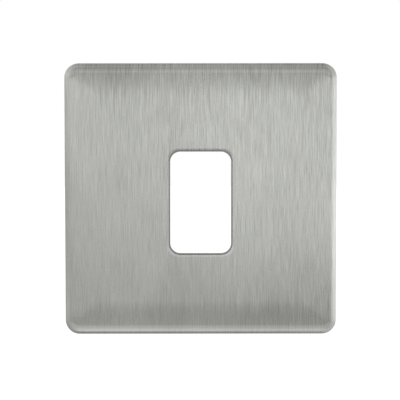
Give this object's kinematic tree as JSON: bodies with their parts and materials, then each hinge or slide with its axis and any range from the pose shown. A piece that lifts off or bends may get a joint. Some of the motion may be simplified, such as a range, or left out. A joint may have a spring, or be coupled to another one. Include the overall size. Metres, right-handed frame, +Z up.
{
  "type": "switch plate",
  "caption": "Square brushed stainless steel switch plate with rolled edges and an upright aperture, clipped to a hidden screwed frame.",
  "frame": {"origin": "on the wall plane, in the middle of the plate, half way between the two fixing screws", "axes": "+X to the right as the plate is seen, +Z up, +Y into the wall, so the plate faces -Y"},
  "size_m": [0.086, 0.0298, 0.086],
  "materials": {
    "stainless": "upright brushed satin",
    "moulding": "fine moulded texture",
    "zinc_steel": "bright zinc plating",
    "screw_steel": "nickel plating",
    "brass": "machined",
    "bronze": "rolled strip"
  },
  "bodies": {
    "root": {"face_plate": "stainless", "clip_frame": "moulding", "mounting_frame": "zinc_steel", "fixing_screw_left": "screw_steel", "fixing_screw_right": "screw_steel", "earth_terminal": "brass", "terminal_screw": "screw_steel", "earth_spring": "bronze", "spring_rivet": "screw_steel"}
  },
  "joints": []
}
